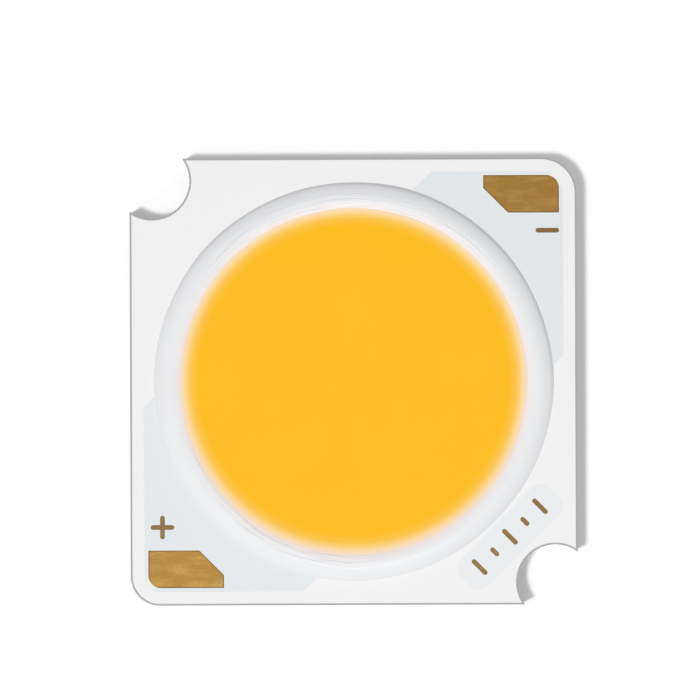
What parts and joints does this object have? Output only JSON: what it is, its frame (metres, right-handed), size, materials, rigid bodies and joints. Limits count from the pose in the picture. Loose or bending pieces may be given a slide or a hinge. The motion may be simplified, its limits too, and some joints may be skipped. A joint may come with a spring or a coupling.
{
  "type": "cob led",
  "caption": "Flat square chip-on-board light source: round phosphor field in a silicone ring on a white metal-core board, with solder pads and corner notches for screws.",
  "frame": {"origin": "middle of the plate's underside, on the face that meets the heat sink", "axes": "+Z is the way the light leaves; +X and +Y run along the plate's edges, with the negative pad in the +X +Y corner and the positive pad in the -X -Y corner"},
  "size_m": [0.019, 0.019, 0.0016],
  "materials": {
    "bare_aluminium": "mill finish with a fine rolling grain",
    "grey_laminate": "matt, filled resin",
    "light_gold_plating": "matt immersion gold with a fine mottle",
    "dark_gold_plating": "matt immersion gold, a shade darker",
    "white_solder_mask": "satin white ink",
    "milky_silicone": "smooth, slightly translucent",
    "phosphor_silicone": "smooth, matt orange-yellow",
    "die_adhesive": "clear to milky",
    "chip_crystal": "polished",
    "gold_wire": "bright drawn wire"
  },
  "bodies": {
    "root": {"aluminium_base": "bare_aluminium", "insulation_layer": "grey_laminate", "positive_copper": "light_gold_plating", "negative_copper": "dark_gold_plating", "marking_copper": "light_gold_plating", "solder_mask": "white_solder_mask", "silicone_dam": "milky_silicone", "phosphor_gel": "phosphor_silicone", "die_attach_string_1": "die_adhesive", "die_attach_string_2": "die_adhesive", "die_attach_string_3": "die_adhesive", "die_attach_string_4": "die_adhesive", "die_attach_string_5": "die_adhesive", "die_attach_string_6": "die_adhesive", "chip_string_1": "chip_crystal", "chip_string_2": "chip_crystal", "chip_string_3": "chip_crystal", "chip_string_4": "chip_crystal", "chip_string_5": "chip_crystal", "chip_string_6": "chip_crystal", "bond_wires_string_1": "gold_wire", "bond_wires_string_2": "gold_wire", "bond_wires_string_3": "gold_wire", "bond_wires_string_4": "gold_wire", "bond_wires_string_5": "gold_wire", "bond_wires_string_6": "gold_wire"}
  },
  "joints": []
}
